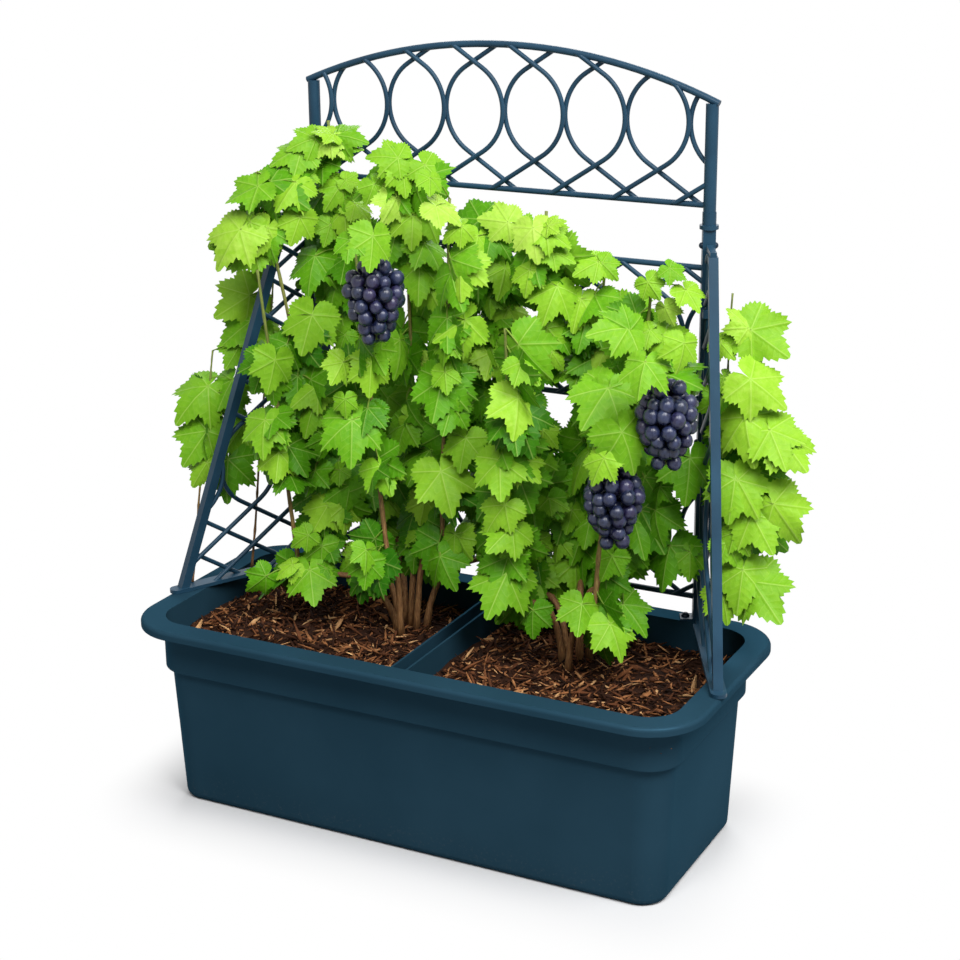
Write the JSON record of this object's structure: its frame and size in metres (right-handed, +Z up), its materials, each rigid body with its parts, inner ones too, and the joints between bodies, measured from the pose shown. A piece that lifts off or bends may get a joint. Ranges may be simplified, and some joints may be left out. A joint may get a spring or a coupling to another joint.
{
  "type": "planter",
  "caption": "Long divided trough planter with a stepped rim, a plug-together lattice trellis with hinged side wings and a lift-off arch, planted with fruiting vines.",
  "frame": {"origin": "centre of the trough's underside, on the floor", "axes": "+X along the trough to the viewer's right, +Y towards the trellis at the back, +Z up"},
  "size_m": [0.9122, 0.3666, 1.0015],
  "materials": {
    "trough_plastic": "satin dark blue moulded plastic",
    "trellis_steel": "dark blue powder coat",
    "fastener": "dark blue painted steel",
    "bark": "shredded bark",
    "cane": "rough bark and green shoots",
    "leaf": "thin living leaf",
    "grape": "dark berries with a pale bloom"
  },
  "bodies": {
    "planter": {"trough": "trough_plastic", "divider": "trough_plastic", "mulch_left": "bark", "mulch_right": "bark", "left_lower_post": "trellis_steel", "left_middle_post": "trellis_steel", "right_lower_post": "trellis_steel", "right_middle_post": "trellis_steel", "post_feet": "trellis_steel", "rim_bolts": "fastener", "rim_nuts": "fastener", "post_couplers": "trellis_steel", "top_collars": "trellis_steel", "lower_clamp_screws": "fastener", "upper_clamp_screws": "fastener", "lower_low_rail": "trellis_steel", "lower_top_rail": "trellis_steel", "lower_front_wires": "trellis_steel", "lower_back_wires": "trellis_steel", "middle_low_rail": "trellis_steel", "middle_top_rail": "trellis_steel", "middle_front_wires": "trellis_steel", "middle_back_wires": "trellis_steel", "left_hinge_clips": "trellis_steel", "right_hinge_clips": "trellis_steel", "left_vine_canes": "cane", "left_vine_leaves": "leaf", "right_vine_canes": "cane", "right_vine_leaves": "leaf", "left_grapes": "grape", "right_high_grapes": "grape", "right_low_grapes": "grape"},
    "arch_panel": {"arch_bar": "trellis_steel", "left_arch_leg": "trellis_steel", "right_arch_leg": "trellis_steel", "arch_rail": "trellis_steel", "arch_front_wires": "trellis_steel", "arch_back_wires": "trellis_steel"},
    "left_wing": {"left_wing_base_bar": "trellis_steel", "left_wing_brace": "trellis_steel", "left_wing_stile": "trellis_steel", "left_wing_strap": "trellis_steel", "left_wing_front_wires": "trellis_steel", "left_wing_back_wires": "trellis_steel", "left_wing_canes": "cane", "left_wing_leaves": "leaf"},
    "right_wing": {"right_wing_base_bar": "trellis_steel", "right_wing_brace": "trellis_steel", "right_wing_stile": "trellis_steel", "right_wing_strap": "trellis_steel", "right_wing_front_wires": "trellis_steel", "right_wing_back_wires": "trellis_steel", "right_wing_canes": "cane", "right_wing_leaves": "leaf"}
  },
  "joints": [
    {"name": "arch_lift", "type": "slide", "parent": "planter", "child": "arch_panel", "axis": [0, 0, 1], "range_m": [0, 0.075]},
    {"name": "left_wing_hinge", "type": "hinge", "parent": "planter", "child": "left_wing", "pos_m": [-0.29051, 0.15112, 0.5], "axis": [0, 0, -1], "range_deg": [0, 63]},
    {"name": "right_wing_hinge", "type": "hinge", "parent": "planter", "child": "right_wing", "pos_m": [0.29051, 0.15112, 0.5], "axis": [0, 0, 1], "range_deg": [0, 63]}
  ]
}
